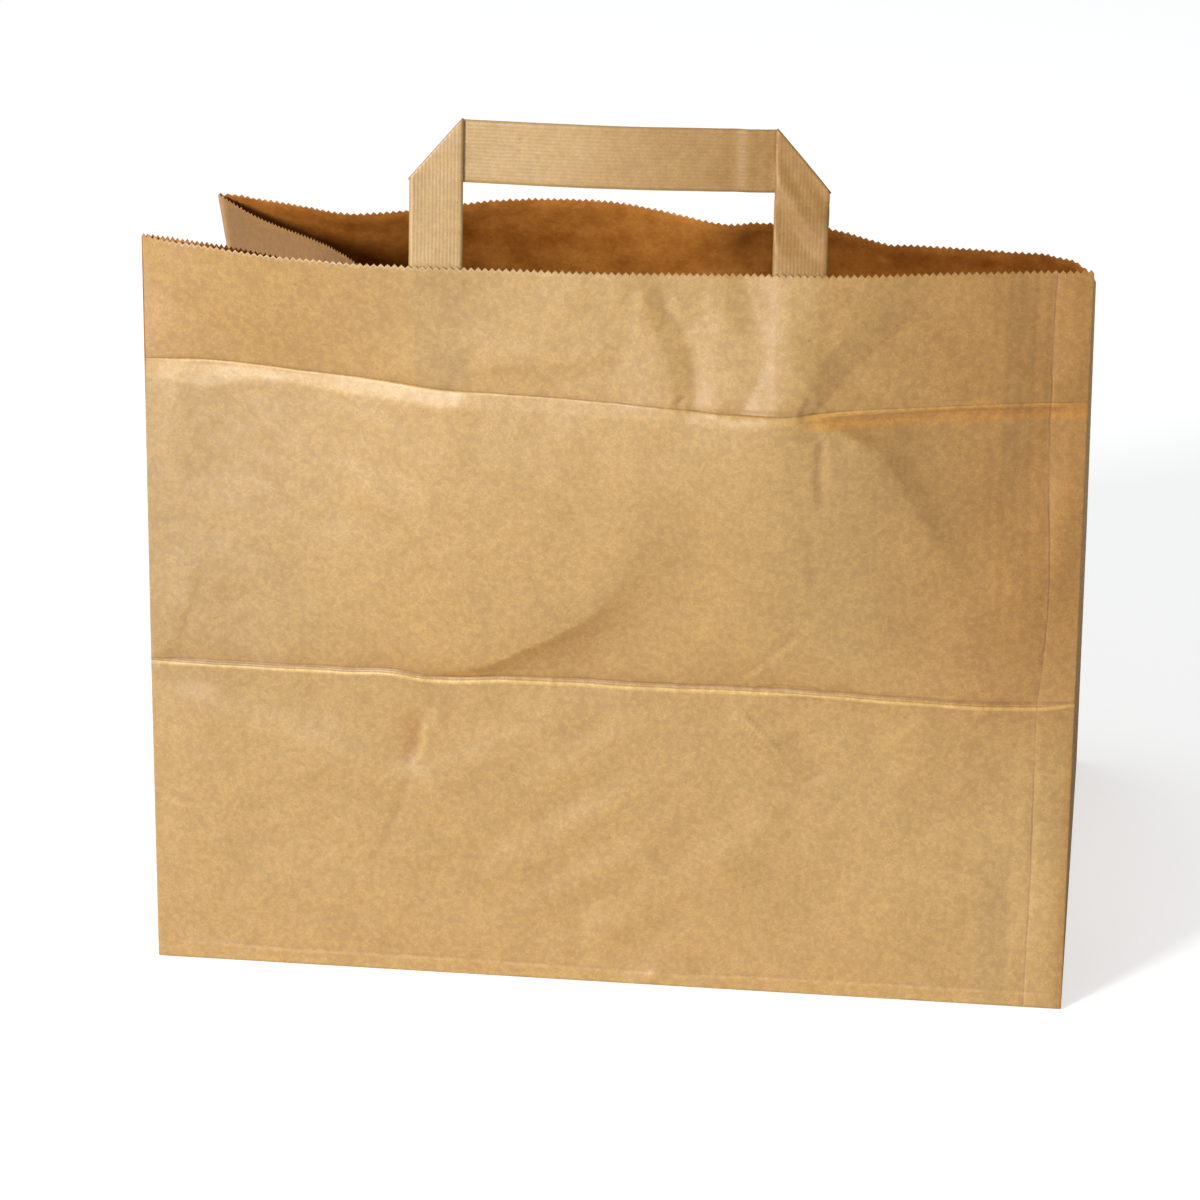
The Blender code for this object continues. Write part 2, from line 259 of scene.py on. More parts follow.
# How tall the bright facet under the upper crease is, and how far it juts out
BAND_TALL = ((-160, 7.0), (-148, 7.4), (-136, 9.5), (-128, 7.0), (-118, 4.8), (-95, 5.6), (-63, 5.7),
             (-40, 5.6), (0, 4.6), (30, 3.6), (66, 4.2), (72, 5.2), (95, 5.6), (160, 5.4))
BAND_JUT = ((-160, 1.05), (-120, 0.95), (-90, 0.7), (-70, 1.0), (-50, 1.2), (-42, 0.55), (-24, 0.3),
            (0, 0.5), (24, 0.45), (34, 0.3), (60, 0.35), (72, 0.16), (160, 0.2))
# Leaves of the collar: left and right borders (v, x), fall to the right in mm, reach of the rise after it
LEAVES = (
    (((217, 24.8), (222, 24.3), (229, 22.8), (236, 20.5), (243, 17.5), (250, 15.6), (262, 14.5)),
     ((217, 30.5), (222, 31), (229, 31), (236, 29.5), (243, 26.5), (250, 21.5), (262, 19)), 1.35, 20),
    (((217, 38), (230, 38), (240, 39), (250, 40), (262, 41)),
     ((217, 46.5), (222, 49.5), (228, 52.5), (235, 54), (240, 53.5), (250, 49.5), (262, 46)), 1.4, 26),
    (((214, 66.0), (217, 66.2), (221, 67), (229, 69.5), (235, 73), (240, 78), (248, 85), (262, 96)),
     ((214, 70), (217, 71), (221, 74), (229, 81), (235, 87), (240, 93), (248, 101), (262, 112)), 1.9, 60),
    (((217, -53.6), (222, -53.0), (262, -50)), ((217, -51.6), (222, -50), (262, -44)), 0.5, 4),
)
ARC = ((-68, 111.2), (-63, 112.5), (-46, 115.5), (-34.5, 120.5), (-28.5, 124.5), (-17, 130.5), (-8, 136),
       (0, 142.5), (5.5, 150.5), (10, 160), (15, 172), (19, 187), (21, 205))
FACET = ((66.5, 215.8), (69.5, 214), (81.5, 208.5), (92.5, 202), (98, 191.5), (104, 182.5), (107, 176.5),
         (118.5, 157.5), (126, 142))
DENT = ((-64.6, 102), (-65.3, 97.5), (-65.5, 86.5), (-68, 76.5), (-69, 73.5))
SCRATCH = ((-160, 59.3), (-155.6, 59.4), (-153.1, 58.2), (-140, 57.9))
SHORT_FOLD = ((57.5, 111.6), (60, 110.5), (66.5, 104.5), (72, 99))
PALE_LINES = (((45.0, 104.6), (47.5, 102), (59, 90), (60.5, 88.4)), ((43.2, 103), (46.2, 100), (57.2, 88.6)),
              SCRATCH)
# Wrinkles: polyline (x, v), height, width on its left and, where it differs, on its right, taper of the ends
WRINKLES = (
    (((-45.5, 228.4), (-38, 229), (-29, 229.6), (-16, 231.5), (8, 236)), 0.62, 7.0, 2.6),
    (((-44.8, 245), (-44.4, 232)), 0.22, 0.8, 1.4),
    (((67.6, 213.8), (66.4, 216.2), (67.3, 219.0), (69.8, 223.0)), -0.75, 0.5, 1.3),
    (((24.6, 216.2), (25.4, 219.4), (28.0, 222.5)), -0.5, 0.45, 1.1),
    (((23.5, 256), (25, 251), (28.2, 245)), 0.22, 1.2),
    (((32.2, 256), (33.6, 246)), -0.22, 1.2),
    (((73.5, 210), (73.0, 205.5), (72.5, 197), (73, 186), (73, 181)), -0.62, 1.3, 0.7),
    (((71.5, 176), (70, 163.5), (72.5, 152)), -0.34, 1.9, 1.1),
    (((44, 114.0), (46.5, 116), (55.5, 124.5), (64, 133), (68, 137)), -0.45, 2.4, 0.7),
    (((44.5, 105.2), (47.5, 102), (59, 90), (61.5, 87.4)), 0.62, 0.62),
    (((42.5, 103.5), (46.2, 100), (57.2, 88.6)), 0.52, 0.55),
    (DENT, -0.45, 1.2, 4.6, 0.4),
    (((-8.5, 34), (-8, 27.5), (-7.5, 6)), -0.42, 3.6, 4.5),
    (((62, 97), (64.5, 92.5), (71, 83), (73, 78)), -0.5, 5.0, 3.4),
    (((86, 99), (91, 93.5), (110.5, 69.5), (116, 60)), -0.62, 5.0, 4.2),
    (((100, 104), (106, 96), (124, 76)), 0.45, 6.0, 5.0),
    (((16, 44), (23.5, 51.5), (42.5, 71), (48, 76)), -0.55, 5.5, 6.5),
    (((38, 40), (48, 53), (62, 66)), 0.45, 7.0, 6.0),
    (((0, 6), (5.5, 9.5), (15.5, 19), (26, 26)), -0.45, 4.5, 5.0),
    (SCRATCH, 0.12, 0.45),
)
# Changes of level: polyline, height, softness, reach and, where it differs, taper
LEDGES = (
    (((-161, 104.5), (-156, 102), (-132.5, 97.5), (-109.5, 90.5), (-86.5, 81.5), (-67.5, 74.5)),
     1.05, 6.5, 24, 0.04),
    (((-69.5, 73.8), (-60.5, 79.5), (-52, 84), (-35, 92), (-24, 96)), 0.3, 3.2, 14),
    (((141, 222), (150, 228), (158, 238)), 0.35, 2.0, 8),
)
# Small bumps: x, v, height, width across, width up
BUMPS = ((5, 257, 0.35, 2.0, 5), (13, 252, 0.25, 1.2, 5), (-66.8, 74.6, 0.15, 1.3, 1.0), (17.2, 4.2, 0.6, 1.6, 1.6))
# Ends of the lower crease: fold and start of the rise in x, height, v of its middle, width up
CREASE_ENDS = ((-160, -153, 0.8, 107.4, 1.8), (-160, -154, -0.55, 104.2, 1.2),
               (160, 153.5, 0.7, 109.0, 1.5), (160, 154, -0.6, 105.8, 1.4))
TICKS = ((-63.5, 1.4), (-18.5, 1.2), (24.7, 1.6), (50.6, 2.4))
# Borders of the strap's two legs as they show through the collar
STRAP_MARKS = ((-63.8, -44.0), (56.0, 73.4))
# Folds of the sides and the back as places round the bag, mm
FOLDS = (0, 320, 430, 540, 860, 970, 1080)
# How far the back's rim stands out from its smooth shape, mm
BACK_RIM = ((-160, 0), (-155, 2.5), (-150, 3.6), (-143, 4.2), (-120, 3.6), (-113, 1.9), (-105, 0.3), (-90, 0),
            (0, 0), (20, 0.8), (29, 2.0), (31, 2.3), (35, 3.4), (42, 3.9), (60, 4.4), (67, 4.1), (80, 1.8),
            (87, 0.5), (92, 0.9), (110, 1.3), (130, 0.2), (140, -1.4), (150, -2.4), (160, 0))


def along_line(x, v, points):
    """Signed distance (positive to the left of the way of travel), and place 0 to 1, for a polyline."""
    best = np.full(np.broadcast(x, v).shape, 1e9)
    side = np.zeros_like(best)
    place = np.zeros_like(best)
    lengths = [math.dist(points[k], points[k + 1]) for k in range(len(points) - 1)]
    total, done = sum(lengths), 0.0
    for k, length in enumerate(lengths):
        (x0, v0), (x1, v1) = points[k], points[k + 1]
        dx, dv = (x1 - x0) / length, (v1 - v0) / length
        t = np.clip((x - x0) * dx + (v - v0) * dv, 0, length)
        ex, ev = x - x0 - dx * t, v - v0 - dv * t
        dist = np.hypot(ex, ev)
        near = dist < best
        cross = dx * (v - v0) - dv * (x - x0)
        best = np.where(near, dist, best)
        side = np.where(near, np.sign(cross), side)
        place = np.where(near, (done + t) / total, place)
        done += length
    return best * side, place


def ridge(x, v, points, height, width, right=None, taper=0.15):
    """A ridge (or valley) along a polyline, with its own width on the right-hand side."""
    d, place = along_line(x, v, points)
    w = np.where(d < 0, right or width, width)
    ends = step(0, taper, place) * step(1, 1 - taper, place)
    return height * bell(d, w) * ends


def past(d, soft):
    """Distance beyond a line, with a soft start."""
    return soft * np.logaddexp(0.0, d / soft)


def drop(d, depth, reach, soft):
    """A kink along a line after which the sheet falls away and levels out."""
    return -depth * (1 - np.exp(-past(d, soft) / reach))


def valley(d, depth, reach, soft):
    """A kink along a line after which the sheet falls away, then comes back slowly."""
    s = past(d, soft) / reach
    return -depth * s * np.exp(1 - s)


def ledge(x, v, points, height, soft, reach, taper=0.12):
    """A change of level across a line: the lower side stands further out."""
    d, place = along_line(x, v, points)
    ends = step(0, taper, place) * step(1, 1 - taper, place)
    return -height * np.tanh(d / soft) * np.exp(-np.abs(d) / reach) * ends


def collar_leaves(x, v):
    """The collar's bent leaves: each falls away to the right, then rises again."""
    total = 0.0
    for left, right, depth, reach in LEAVES:
        a, b = curve(left, v), curve(right, v)
        fall = depth * np.clip((x - a) / (b - a), 0, 1) * np.exp(-np.clip(x - b, 0, None) / reach)
        fade = step(232, 219, v) if depth < 1 else 1.0
        total = total - fall * fade
    return total * (1 - 0.6 * step(244, 262, v))


def fading(d, reach):
    """1 up to a line, then fading away beyond it."""
    return np.exp(-np.clip(d, 0, None) / reach)


def upper_crease_relief(x, v, below):
    """The facet under the upper crease juts out, the collar is set in, the strap's legs show."""
    tall, jut = curve(BAND_TALL, x), curve(BAND_JUT, x)
    facet = past(below, 0.5) - past(below - tall, 0.6)
    r = 1.05 * jut * facet / tall * fading(below - tall, 24)
    set_in = (0.16 + 0.3 * step(-36, -52, x)) * step(160, 148, np.abs(x)) * step(76, 60, x)
    r -= set_in * fading(-below, 8) * step(-0.5, 0.3, -below)
    r += (collar_leaves(x, v) + 0.5 * bell(x - 60, 8)) * fading(below, 2.2)
    for left, right in STRAP_MARKS:
        r += 0.12 * step(left, left + 1.2, x) * step(right, right - 1.2, x) * step(217.5, 219.5, v)
    return r


def pinch_relief(x, v, below):
    """Under the pinch: a pale swelling, then the big facet to its right."""
    r = 0.75 * bell(x - 59, 9) * fading(below, 9) * step(-1, 2, below)
    d, place = along_line(x, v, FACET)
    ends = step(0.0, 0.04, place) * step(1.0, 0.66, place)
    r += valley(d, 2.7, 24, 0.5 + 3.0 * place) * ends * step(-0.2, 3, below)
    r += 0.85 * ends * np.exp(-past(-d, 0.6) / 8) * np.exp(-past(d, 0.6) / 5) * step(0.08, 0.26, place)
    return r


def arc_relief(x, v, over):
    """The long soft arc, dipping towards the lower crease."""
    d, place = along_line(x, np.maximum(v, curve(LOWER_CREASE, x)), ARC)
    sharp = 0.5 + 7.0 * np.abs(place - 0.24)
    dip = valley(-d, 3.3, 20, sharp) * step(0, 0.1, place) * step(1, 0.62, place)
    lip = 0.5 * bell(d - 6, 7) * step(0.05, 0.2, place) * step(0.9, 0.5, place) * step(-1, 3, over)
    return dip * fading(-over, 17) + lip


def lower_crease_relief(x, v, over):
    """A thin ledge with the sheet over it set in, its ends and ticks, and the fold that leaves it."""
    r = 0.8 * step(0.75, -0.75, over) * fading(-over - 0.7, 11 - 3 * step(30, 70, x))
    r += 0.45 * step(40, 75, x) * step(0.3, -0.3, over) * fading(-over, 9)
    r -= 0.7 * fading(over, 6.5) * step(-0.3, 0.9, over)
    r -= 0.22 * bell(over - 1.9, 0.5) * step(52, 56, x) * step(76, 70, x)
    d, place = along_line(x, v, SHORT_FOLD)
    r += drop(d, 0.95, 8, 0.35) * step(0, 0.08, place) * step(1, 0.4, place) * step(-0.2, 1.2, -over)
    for edge, start, height, middle, tall in CREASE_ENDS:
        r += height * step(start, edge, x) * bell(v - middle, tall)
    r += 0.5 * bell(x - 128.5, 1.6) * bell(-over - 2.2, 1.6)
    for middle, tall in TICKS:
        r += 0.35 * bell(x - middle, 0.55) * bell(over, tall)
    return r


def seam_relief(x, v):
    """The strip along the foot, the glue seam and the bead beside the right fold."""
    strip = 5.6 - 1.2 * bell(x - 20, 20) + 1.2 * step(-110, -155, x)
    past_seam = x - curve(SEAM, v)
    past_inner = x - (140.6 + 0.012 * v)
    r = 0.2 * step(0.5, -0.5, v - strip)
    r += 0.26 * step(0.0, 0.45, past_seam) - 0.14 * bell(past_seam + 0.2, 0.4)
    r += 0.14 * step(0.0, 0.5, past_inner) * step(8, 20, v) * step(106, 98, v)
    r += 0.055 * np.sin((x - 126) * 1.45) * step(122, 130, x) * step(148, 144, x) * step(125, 150, v)
    r += 0.4 * bell(x - 155.0, 2.4)
    return r


def slack(x, v):
    """Slack of the whole panel, and a patch of slanting ripples below the lower crease."""
    r = 0.62 * waves(x, v, 85, 11, 2) * step(0, 25, v)
    r += 0.2 * waves(x, v, 24, 23, 2) + 0.035 * waves(x, v, 7, 29, 2)
    across = -0.55 * (x + 14) + 0.83 * (v - 78)
    return r + 0.34 * bell(np.hypot(x + 10, v - 58), 26) * np.sin(across * 2 * math.pi / 19 + 1.3)


def front_relief(x, v):
    """Outward relief of the front panel in mm, from x and v in mm."""
    below = curve(UPPER_CREASE, x) - v
    over = v - curve(LOWER_CREASE, x)
    r = upper_crease_relief(x, v, below) + pinch_relief(x, v, below)
    r += arc_relief(x, v, over) + lower_crease_relief(x, v, over) + seam_relief(x, v) + slack(x, v)
    for row in WRINKLES:
        r += ridge(x, v, *row)
    for row in LEDGES:
        r += ledge(x, v, *row)
    for x0, v0, height, wide, tall in BUMPS:
        r += height * bell(x - x0, wide) * bell(v - v0, tall)
    return r * step(160, 147, np.abs(x)) * step(0, 1.5, v)


def other_relief(p, v):
    """Outward relief of the gussets and the back panel in mm, from p and v in mm."""
    near = np.min(np.abs(p[..., None] - np.array(FOLDS, float)), axis=-1)
    calm = step(0.5, 6, near) * step(0, 6, v)
    r = 0.55 * waves(p, v, 95, 31, 2) + 0.1 * waves(p, v, 20, 37, 3)
    middle = step(545, 560, p) * step(855, 840, p)
    crease = -0.5 * bell(v - 214 - 1.2 * np.sin(p / 33), 1.6)
    r += middle * (crease + 0.35 * step(214, 208, v) * step(150, 205, v))
    rim_only = step(205, 255, v) * step(540, 545, p) * step(860, 856, p)
    return r * calm + rim_only * curve(BACK_RIM, BACK_MIDDLE / MM - p)


# Meshes of the sheet
LOW_ROW, HIGH_ROW = 0.1112, 0.2179
NEAR_FOLD = (0.00035, 0.0008)
WARP_REACH = (20, 1)
TIP_JITTER = 0.00008


def split(start, end, parts):
    """Places that split a stretch into equal parts, both ends included."""
    return [start + (end - start) * k / parts for k in range(parts + 1)]


def with_folds(columns, folds):
    """Columns with extra ones close to each fold."""
    extra = [f + s * d for f in folds for s in (-1, 1) for d in NEAR_FOLD]
    low, high = min(columns), max(columns)
    extra = [e for e in extra if low < e < high]
    return np.array(sorted(set(np.round(columns + extra, 7))))


def spread(*stretches):
    """Rows over stretches given as (from, to, pitch)."""
    rows = []
    for low, high, pitch in stretches:
        rows += list(np.linspace(low, high, max(1, round((high - low) / pitch)), endpoint=False))
    return rows + [high]


def normals_at(P, V):
    """Outward normals of the sheet."""
    du = sheet_point(P + ROUND, V) - sheet_point(P - ROUND, V)
    dv = sheet_point(P, V + ROUND) - sheet_point(P, V - ROUND)
    n = np.cross(du, dv)
    return n / np.linalg.norm(n, axis=-1, keepdims=True)


def crease_warp(P, V):
    """Makes the rows near the two creases follow them across the front."""
    x = (P - WIDTH / 2) / MM
    shift = 0.0
    for crease, row in ((LOWER_CREASE, LOW_ROW), (UPPER_CREASE, HIGH_ROW)):
        shift = shift + (curve(crease, x) - row / MM) * step(*WARP_REACH, np.abs(V - row) / MM)
    return V + np.where((P >= 0) & (P <= WIDTH), shift * MM, 0.0)


def relief_shading(lift, P, V):
    """Curvature of the relief, squeezed to -1 for valleys and 1 for ridges: the mask of the painted highlight on
    ridges and painted shade in valleys.
    """
    du = np.gradient(P, axis=1) / MM
    dv = np.gradient(V, axis=0) / MM
    across = np.gradient(np.gradient(lift, axis=1) / du, axis=1) / du
    up = np.gradient(np.gradient(lift, axis=0) / dv, axis=0) / dv
    bend = -(across + up)
    return bend / (np.abs(bend) + 0.09)


def grid_faces(n, m, start=0):
    """Quads of a grid of n rows and m columns of vertices, and the vertices' numbers."""
    index = np.arange(n * m).reshape(n, m) + start
    corners = [index[:-1, :-1], index[:-1, 1:], index[1:, 1:], index[1:, :-1]]
    return np.stack(corners, -1).reshape(-1, 4).tolist(), index


def sheet_mesh(name, coords, flat, faces, values, materials):
    """An object with its flat coordinates and tones."""
    mesh = bpy.data.meshes.new(name)
    mesh.from_pydata(coords.tolist(), [], faces)
    layer = mesh.uv_layers.new(name="flat")
    loops = np.empty(len(mesh.loops), dtype=np.int32)
    mesh.loops.foreach_get("vertex_index", loops)
    layer.data.foreach_set("uv", flat[loops].astype(np.float32).ravel())
    for key in TONES:
        attribute = mesh.attributes.new(key, "FLOAT", "POINT")
        value = values.get(key, FAR_OFF if key.startswith("from_") else 0.0)
        attribute.data.foreach_set("value", np.full(len(coords), value, np.float32))
    mesh.shade_smooth()
    for material in materials:
        mesh.materials.append(material)
    thing = bpy.data.objects.new(name, mesh)
    bpy.context.scene.collection.objects.link(thing)
    return thing


def thicken(thing, thickness, offset):
    """Gives a surface its thickness."""
    solid = thing.modifiers.new("Paper", "SOLIDIFY")
    solid.thickness = thickness
    solid.offset = offset
    return solid


def paper_mesh(name, coords, flat, faces, values):
    """A stretch of the sheet with its thickness, its inside and its cut edge."""
    thing = sheet_mesh(name, coords, flat, faces, values, [outside, inside, rim])
    solid = thicken(thing, PAPER, -1.0)
    solid.material_offset = 1
    solid.material_offset_rim = 2
    return thing


def add_teeth(teeth, columns, last_row, points, normals, index):
    """Tips of the pinked edge: their points, flat places and triangles."""
    base = [np.argmin(np.abs(columns - place)) for place in teeth]
    first, last = np.array(base[:-1]), np.array(base[1:])
    rng = np.random.default_rng(5)
    middle = (columns[first] + columns[last]) / 2
    tip_v = HEIGHT + rng.normal(0, TIP_JITTER, len(middle))
    up = points[-1] - points[-2]
    up = up / np.linalg.norm(up, axis=-1, keepdims=True)
    curl = rng.normal(0, TIP_JITTER, len(middle))[:, None] * normals[-1, first]
    root = 0.5 * (points[-1, first] + points[-1, last])
    tips = root + 0.5 * (up[first] + up[last]) * (tip_v - last_row)[:, None] + curl
    faces = [[int(index[-1, j]), int(index[-1, j + 1]), index.size + k]
             for k in range(len(middle)) for j in range(first[k], last[k])]
    return tips, np.stack([middle, tip_v], -1), faces


def sheet_piece(name, columns, rows, relief, tone, teeth=()):
    """A stretch of the sheet as one mesh; with teeth it also has its share of the pinked edge."""
    P, V = np.meshgrid(columns, rows)
    V = crease_warp(P, V)
    normals = normals_at(P, V)
    lift = relief(P, V)
    points = rounded_point(P, V) + normals * (lift * MM)[..., None]
    coords = points.reshape(-1, 3)
    flat = np.stack([P, V], -1).reshape(-1, 2)
    # Painted highlight on the relief's ridges and painted shade in its valleys
    relief_shade = relief_shading(lift, P, V).ravel()
    faces, index = grid_faces(*P.shape)
    if teeth:
        tips, tip_flat, tip_faces = add_teeth(teeth, columns, rows[-1], points, normals, index)
        coords = np.vstack([coords, tips])
        flat = np.vstack([flat, tip_flat])
        relief_shade = np.concatenate([relief_shade, np.full(len(tips), 0.2)])
        faces += tip_faces
    values = tone(flat[:, 0], flat[:, 1])
    # The gusset's hollow takes more of the painted valley shade
    values["relief_shade"] = relief_shade - values.pop("hollow_valley_shade", 0.0)
    return paper_mesh(name, coords, flat, faces, values)


# Procedural paper
# Tone attributes: a painted shade mask, a greyer tone, a paler tone that is in part painted highlight, a painted
# glow, painted highlight and shade from the relief's curvature, and distances for the thin lines
TONES = ("painted_shade", "grey", "pale", "painted_glow", "relief_shade", "from_seam", "from_low", "from_high", "from_line")
FAR_OFF = 9.0


class Nodes:
    """Short helper to write the shader of a material or world as formulas."""

    def __init__(self, owner, shader="Principled BSDF"):
        owner.use_nodes = True
        self.owner = owner
        self.tree = owner.node_tree
        self.shader = self.tree.nodes[shader]

    def put(self, kind, **values):
        node = self.tree.nodes.new(kind)
        for key, value in values.items():
            setattr(node, key, value)
        return node

    def feed(self, node, sockets):
        """Sets inputs of a node, each to a number, a tuple or another node's output."""
        for key, source in sockets.items():
            if isinstance(source, (int, float, tuple)):
                node.inputs[key].default_value = source
            else:
                self.tree.links.new(source, node.inputs[key])
        return node

    def math(self, operation, a, b=0.0, c=0.0):
        node = self.put("ShaderNodeMath", operation=operation)
        return self.feed(node, {0: a, 1: b, 2: c}).outputs[0]

    def ramp(self, value, low, high, to_low=0.0, to_high=1.0):
        node = self.put("ShaderNodeMapRange", interpolation_type="SMOOTHSTEP")
        sockets = {"Value": value, "From Min": low, "From Max": high, "To Min": to_low, "To Max": to_high}
        return self.feed(node, sockets).outputs["Result"]

    def noise(self, place, scale, detail=2.0, rough=0.5, distortion=0.0, stretch=None, shift=0.0):
        if stretch or shift:
            sockets = {"Vector": place, "Scale": (*(stretch or (1.0, 1.0)), 1.0),
                       "Location": (shift, shift * 0.7, shift * 0.3)}
            place = self.feed(self.put("ShaderNodeMapping"), sockets).outputs["Vector"]
        sockets = {"Vector": place, "Scale": scale, "Detail": detail, "Roughness": rough, "Distortion": distortion}
        return self.feed(self.put("ShaderNodeTexNoise"), sockets).outputs["Fac"]

    def mix(self, factor, a, b, blend="MIX"):
        node = self.put("ShaderNodeMix", data_type="RGBA", blend_type=blend)
        return self.feed(node, {"Factor": factor, "A": a, "B": b}).outputs["Result"]

    def read(self, key):
        return self.put("ShaderNodeAttribute", attribute_name=key).outputs["Fac"]

    def times(self, a, b):
        return self.math("MULTIPLY", a, b)

    def gap(self, a, b):
        """How far two values lie apart."""
        return self.math("ABSOLUTE", self.math("SUBTRACT", a, b))

    def tint(self, colour, factor, by):
        """The colour multiplied by another, as far as the factor says."""
        return self.mix(factor, colour, by, "MULTIPLY")


# Tints of the thin lines: pale, and the dark of painted shadow lines
PALE, SHADOW_LINE_TINT = (1.26, 1.4, 1.72, 1.0), (0.62, 0.52, 0.4, 1.0)
BRIGHT_FIBRE, DARK_FIBRE = (1.24, 1.28, 1.42, 1.0), (0.84, 0.76, 0.58, 1.0)
# Tints of the painted highlight on ridges and the painted shade in valleys
RIDGE_HIGHLIGHT, VALLEY_SHADE = (1.22, 1.26, 1.36, 1.0), (0.8, 0.72, 0.6, 1.0)
# Tints of the tone attributes: greyer, paler (in part painted highlight) and an orange painted glow
TINTS = (("grey", (0.8, 0.83, 0.86, 1.0)), ("pale", (1.16, 1.22, 1.34, 1.0)), ("painted_glow", (1.18, 1.04, 0.58, 1.0)))
# Thin lines: which distance in mm, where, half width, strength, tint; the dark ones are painted shadow lines at the
# seam's edge and over the creases, the pale ones painted highlights beside them and paler along the thin pale lines
FOLD_LINES = (("from_seam", -0.1, 0.34, 0.78, SHADOW_LINE_TINT), ("from_seam", 0.5, 0.28, 0.3, PALE),
              ("from_low", -0.45, 0.75, 0.55, PALE), ("from_low", 0.85, 0.5, 0.5, SHADOW_LINE_TINT),
              ("from_high", 0.35, 0.45, 0.14, SHADOW_LINE_TINT), ("from_high", -0.35, 0.4, 0.12, PALE),
              ("from_line", 0.0, 0.3, 0.8, PALE))
GLAZED_IOR, PLAIN_IOR = 1.7, 1.5


def srgb(r, g, b):
    """Linear colour from the 0 to 255 values of a screen colour."""
    def one(c):
        c = c / 255
        return c / 12.92 if c <= 0.04045 else ((c + 0.055) / 1.055) ** 2.4
    return (one(r), one(g), one(b), 1.0)


def darker(colour, amount):
    return (*(c * amount for c in colour[:3]), 1.0)


def add_fibres(m, flat, colour, strength):
    """Curled fibres: thin level lines of a noise, bright in some patches and dark in the others."""
    keep = m.ramp(m.noise(flat, 430.0, 1.0, 0.5, shift=7.7), 0.34, 0.58)
    elsewhere = m.math("SUBTRACT", 1.0, keep)
    for scale, shift, stretch, share, amount, tint in (
            (600.0, 3.7, (1.0, 1.25), keep, 0.75, BRIGHT_FIBRE),
            (680.0, 9.1, (1.3, 1.0), elsewhere, 0.5, DARK_FIBRE)):
        level = m.noise(flat, scale, 1.2, 0.5, 0.9, stretch, shift)
        stroke = m.ramp(m.gap(level, 0.5), 0.03, 0.095, 1.0, 0.0)
        colour = m.tint(colour, m.times(m.times(stroke, share), amount * strength), tint)
    return colour


def add_flecks(m, flat, colour, fleck):
    """A few small dark flecks."""
    cells = m.feed(m.put("ShaderNodeTexVoronoi", feature="F1"), {"Vector": flat, "Scale": 210.0})
    channels = m.feed(m.put("ShaderNodeSeparateColor"), {"Color": cells.outputs["Color"]})
    spot = m.times(m.ramp(cells.outputs["Distance"], 0.035, 0.075, 1.0, 0.0),
                   m.ramp(channels.outputs["Red"], 0.9, 0.93))
    return m.mix(m.times(spot, 0.75), colour, fleck)


def add_tones(m, flat, colour, painted_shade_mask, painted_shade):
    """The mesh's tones with painted shade and painted glow, painted highlight on ridges and painted shade in
    valleys, and thin lines along folds and seams that are painted shadow and highlight lines.
    """
    colour = m.tint(colour, painted_shade_mask, painted_shade)
    for key, tint in TINTS:
        colour = m.tint(colour, m.read(key), tint)
    relief_shade = m.read("relief_shade")
    colour = m.tint(colour, m.times(m.ramp(relief_shade, 0.05, 0.95), 0.55), RIDGE_HIGHLIGHT)
    colour = m.tint(colour, m.times(m.ramp(relief_shade, -0.05, -0.95), 0.55), VALLEY_SHADE)
    wander = m.times(m.math("SUBTRACT", m.noise(flat, 160.0, 3.0, 0.6, shift=8.0), 0.5), 0.9)
    strength = m.ramp(m.noise(flat, 70.0, 2.0, 0.5, shift=5.0), 0.3, 0.62, 0.35, 1.0)
    for key, centre, half, amount, tint in FOLD_LINES:
        away = m.gap(m.math("ADD", m.read(key), wander), centre)
        band = m.ramp(away, half * 0.45, half * 1.25, 1.0, 0.0)
        colour = m.tint(colour, m.times(band, m.times(strength, amount)), tint)
    return colour


